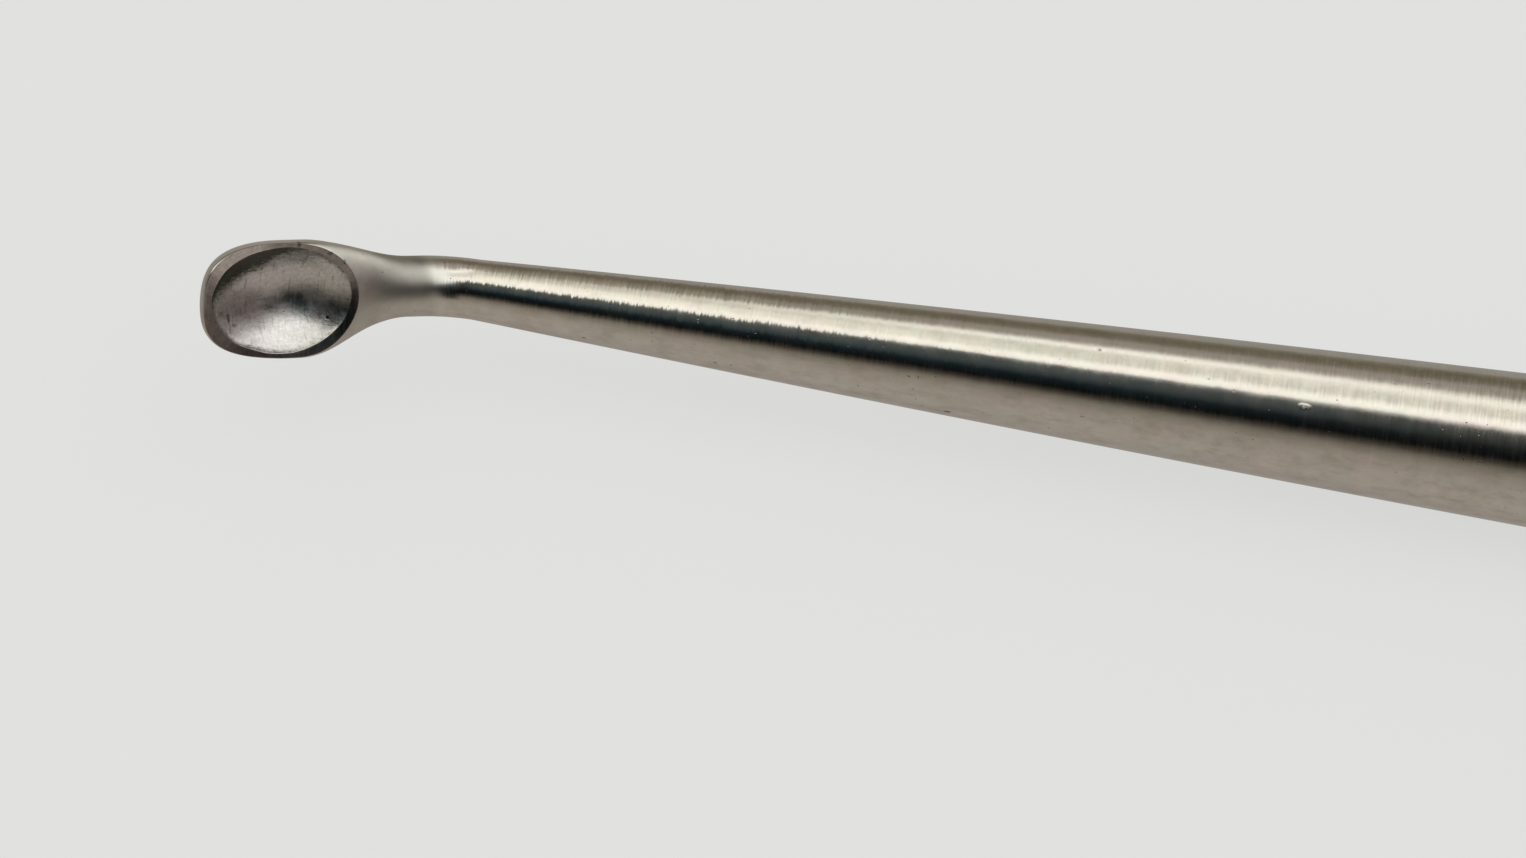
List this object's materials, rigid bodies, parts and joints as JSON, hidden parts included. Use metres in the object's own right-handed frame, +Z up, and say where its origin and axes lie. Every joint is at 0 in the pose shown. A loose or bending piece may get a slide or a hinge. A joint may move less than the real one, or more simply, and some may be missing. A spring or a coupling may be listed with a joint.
{
  "type": "surgical curette",
  "caption": "Bone curette of satin stainless steel: a small oval spooned cup on a bent neck, a long tapering round shaft and a plain six-sided grip.",
  "frame": {"origin": "middle of the flat of the grip that the curette lies on, on the surface it lies on", "axes": "+X along the grip from the cup to the butt, +Z up; the cup opens towards -Y and upwards"},
  "size_m": [0.1916, 0.0161, 0.0127],
  "materials": {
    "steel": "satin stainless steel, brushed around the shaft, worn bright and lightly pitted in the cup"
  },
  "bodies": {
    "root": {"curette": "steel"}
  },
  "joints": []
}
